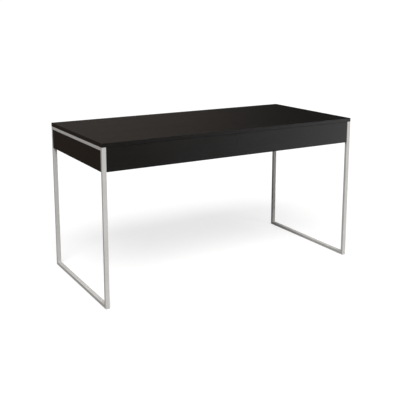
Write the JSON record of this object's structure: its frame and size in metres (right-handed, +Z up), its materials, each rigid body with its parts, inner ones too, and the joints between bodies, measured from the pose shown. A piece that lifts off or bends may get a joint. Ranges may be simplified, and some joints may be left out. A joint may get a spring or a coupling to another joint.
{
  "type": "writing desk",
  "caption": "Writing desk with a flat board top on two closed steel-tube end frames, and shallow handleless drawers on telescopic slides behind a flush front.",
  "frame": {"origin": "centre of the desk on the floor, under the middle of its top", "axes": "+Z up, +X along the desk, -Y towards whoever sits at it, where the drawers open"},
  "size_m": [1.4, 0.65, 0.75],
  "materials": {
    "black_laminate": "satin black-brown melamine-faced particle board",
    "black_edge_band": "satin black edge banding",
    "powder_coat": "satin light grey powder coat, fine texture",
    "powder_coat_tabs": "satin light grey powder coat",
    "nylon": "moulded, slightly worn",
    "carcass_board": "black melamine-faced board with raw cut edges",
    "drawer_board": "dark melamine-faced board",
    "hardboard": "smooth brown hardboard",
    "slide_steel": "zinc plated",
    "cage_steel": "zinc plated, with bright balls",
    "bracket_steel": "zinc plated",
    "cam_zinc": "die-cast",
    "screw_steel": "zinc plated"
  },
  "bodies": {
    "desk": {"back_panel": "black_laminate", "board_screws": "screw_steel", "centre_divider": "carcass_board", "desktop": "black_laminate", "desktop_edge_bands": "black_edge_band", "divider_screws": "screw_steel", "floor_glides": "nylon", "frame_tabs": "powder_coat_tabs", "front_rail": "carcass_board", "left_bottom_rail": "powder_coat", "left_drawer_inboard_outer_member": "slide_steel", "left_drawer_outboard_outer_member": "slide_steel", "left_front_leg": "powder_coat", "left_rear_leg": "powder_coat", "left_runner_batten": "carcass_board", "left_side_panel": "black_laminate", "left_top_rail": "powder_coat", "plate_screws": "screw_steel", "right_bottom_rail": "powder_coat", "right_drawer_inboard_outer_member": "slide_steel", "right_drawer_outboard_outer_member": "slide_steel", "right_front_leg": "powder_coat", "right_rear_leg": "powder_coat", "right_runner_batten": "carcass_board", "right_side_panel": "black_laminate", "right_top_rail": "powder_coat", "slide_screws": "screw_steel", "top_brackets": "bracket_steel"},
    "left_drawer": {"left_drawer_back": "drawer_board", "left_drawer_bottom": "hardboard", "left_drawer_cam_bolts": "screw_steel", "left_drawer_cams": "cam_zinc", "left_drawer_corner_screws": "screw_steel", "left_drawer_front": "black_laminate", "left_drawer_front_bands": "black_edge_band", "left_drawer_inboard_inner_member": "slide_steel", "left_drawer_inboard_side": "drawer_board", "left_drawer_outboard_inner_member": "slide_steel", "left_drawer_outboard_side": "drawer_board", "left_drawer_slide_screws": "screw_steel"},
    "left_middle_members": {"left_drawer_inboard_middle_member": "slide_steel", "left_drawer_outboard_middle_member": "slide_steel"},
    "left_outer_cages": {"left_drawer_outer_ball_cages": "cage_steel"},
    "left_inner_cages": {"left_drawer_inner_ball_cages": "cage_steel"},
    "right_drawer": {"right_drawer_back": "drawer_board", "right_drawer_bottom": "hardboard", "right_drawer_cam_bolts": "screw_steel", "right_drawer_cams": "cam_zinc", "right_drawer_corner_screws": "screw_steel", "right_drawer_front": "black_laminate", "right_drawer_front_bands": "black_edge_band", "right_drawer_inboard_inner_member": "slide_steel", "right_drawer_inboard_side": "drawer_board", "right_drawer_outboard_inner_member": "slide_steel", "right_drawer_outboard_side": "drawer_board", "right_drawer_slide_screws": "screw_steel"},
    "right_middle_members": {"right_drawer_inboard_middle_member": "slide_steel", "right_drawer_outboard_middle_member": "slide_steel"},
    "right_outer_cages": {"right_drawer_outer_ball_cages": "cage_steel"},
    "right_inner_cages": {"right_drawer_inner_ball_cages": "cage_steel"}
  },
  "joints": [
    {"name": "left_drawer_slide", "type": "slide", "parent": "desk", "child": "left_drawer", "axis": [0, -1, 0], "range_m": [0, 0.4]},
    {"name": "left_middle_members_slide", "type": "slide", "parent": "desk", "child": "left_middle_members", "axis": [0, -1, 0], "range_m": [0, 0.2]},
    {"name": "left_outer_cages_slide", "type": "slide", "parent": "desk", "child": "left_outer_cages", "axis": [0, -1, 0], "range_m": [0, 0.1]},
    {"name": "left_inner_cages_slide", "type": "slide", "parent": "desk", "child": "left_inner_cages", "axis": [0, -1, 0], "range_m": [0, 0.3]},
    {"name": "right_drawer_slide", "type": "slide", "parent": "desk", "child": "right_drawer", "axis": [0, -1, 0], "range_m": [0, 0.4]},
    {"name": "right_middle_members_slide", "type": "slide", "parent": "desk", "child": "right_middle_members", "axis": [0, -1, 0], "range_m": [0, 0.2]},
    {"name": "right_outer_cages_slide", "type": "slide", "parent": "desk", "child": "right_outer_cages", "axis": [0, -1, 0], "range_m": [0, 0.1]},
    {"name": "right_inner_cages_slide", "type": "slide", "parent": "desk", "child": "right_inner_cages", "axis": [0, -1, 0], "range_m": [0, 0.3]}
  ],
  "couplings": [
    {"joint": "left_middle_members_slide", "follows": "left_drawer_slide", "ratio": 0.5},
    {"joint": "left_outer_cages_slide", "follows": "left_drawer_slide", "ratio": 0.25},
    {"joint": "left_inner_cages_slide", "follows": "left_drawer_slide", "ratio": 0.75},
    {"joint": "right_middle_members_slide", "follows": "right_drawer_slide", "ratio": 0.5},
    {"joint": "right_outer_cages_slide", "follows": "right_drawer_slide", "ratio": 0.25},
    {"joint": "right_inner_cages_slide", "follows": "right_drawer_slide", "ratio": 0.75}
  ]
}
